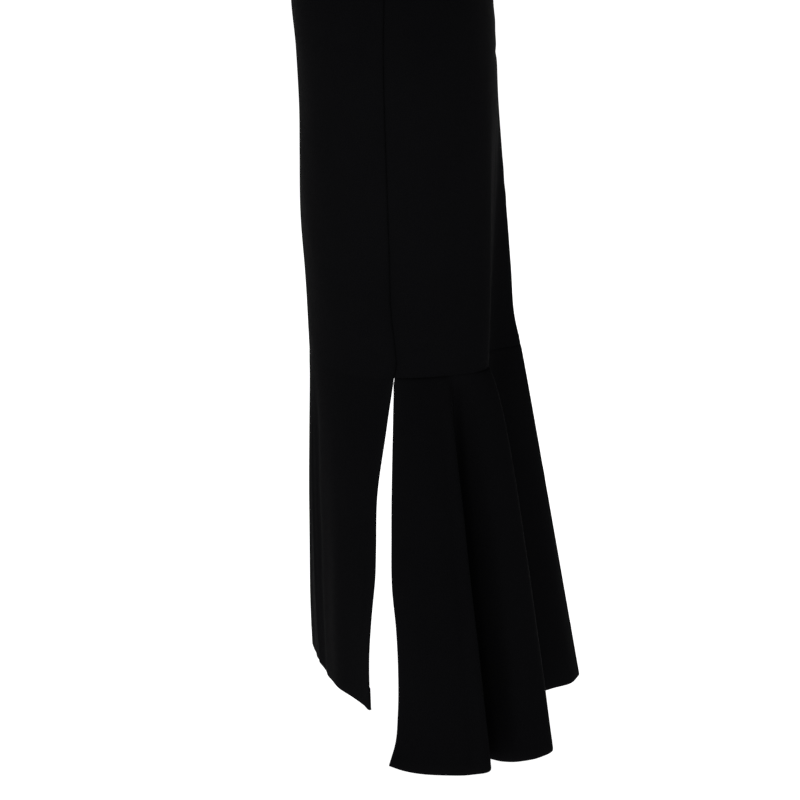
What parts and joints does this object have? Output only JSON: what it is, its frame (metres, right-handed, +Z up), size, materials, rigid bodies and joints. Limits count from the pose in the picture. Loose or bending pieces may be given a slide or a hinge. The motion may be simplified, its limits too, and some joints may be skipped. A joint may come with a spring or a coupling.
{
  "type": "mermaid fishtail skirt",
  "caption": "Long fitted skirt in black cloth, worn form, with a waistband, a slit at each side below the knee and a circular fishtail flounce under the back.",
  "frame": {"origin": "centre of the waist opening, level with the top of the waistband", "axes": "+Z up, -Y towards the wearer's front, +X towards the wearer's left side"},
  "size_m": [0.5283, 0.3264, 0.949],
  "materials": {
    "cloth": "matte black crepe with a faint sheen at grazing angles",
    "zip": "satin black enamel"
  },
  "bodies": {
    "skirt": {"front": "cloth", "back_left": "cloth", "back_right": "cloth", "flounce_left": "cloth", "flounce_right": "cloth", "waistband": "cloth", "zip_slider": "zip"},
    "pull_tab": {"zip_tab": "zip"}
  },
  "joints": [
    {"name": "pull_tab_hinge", "type": "hinge", "parent": "skirt", "child": "pull_tab", "pos_m": [0, 0.08267, -0.0085], "axis": [1, 0, 0], "range_deg": [0, 165]}
  ]
}
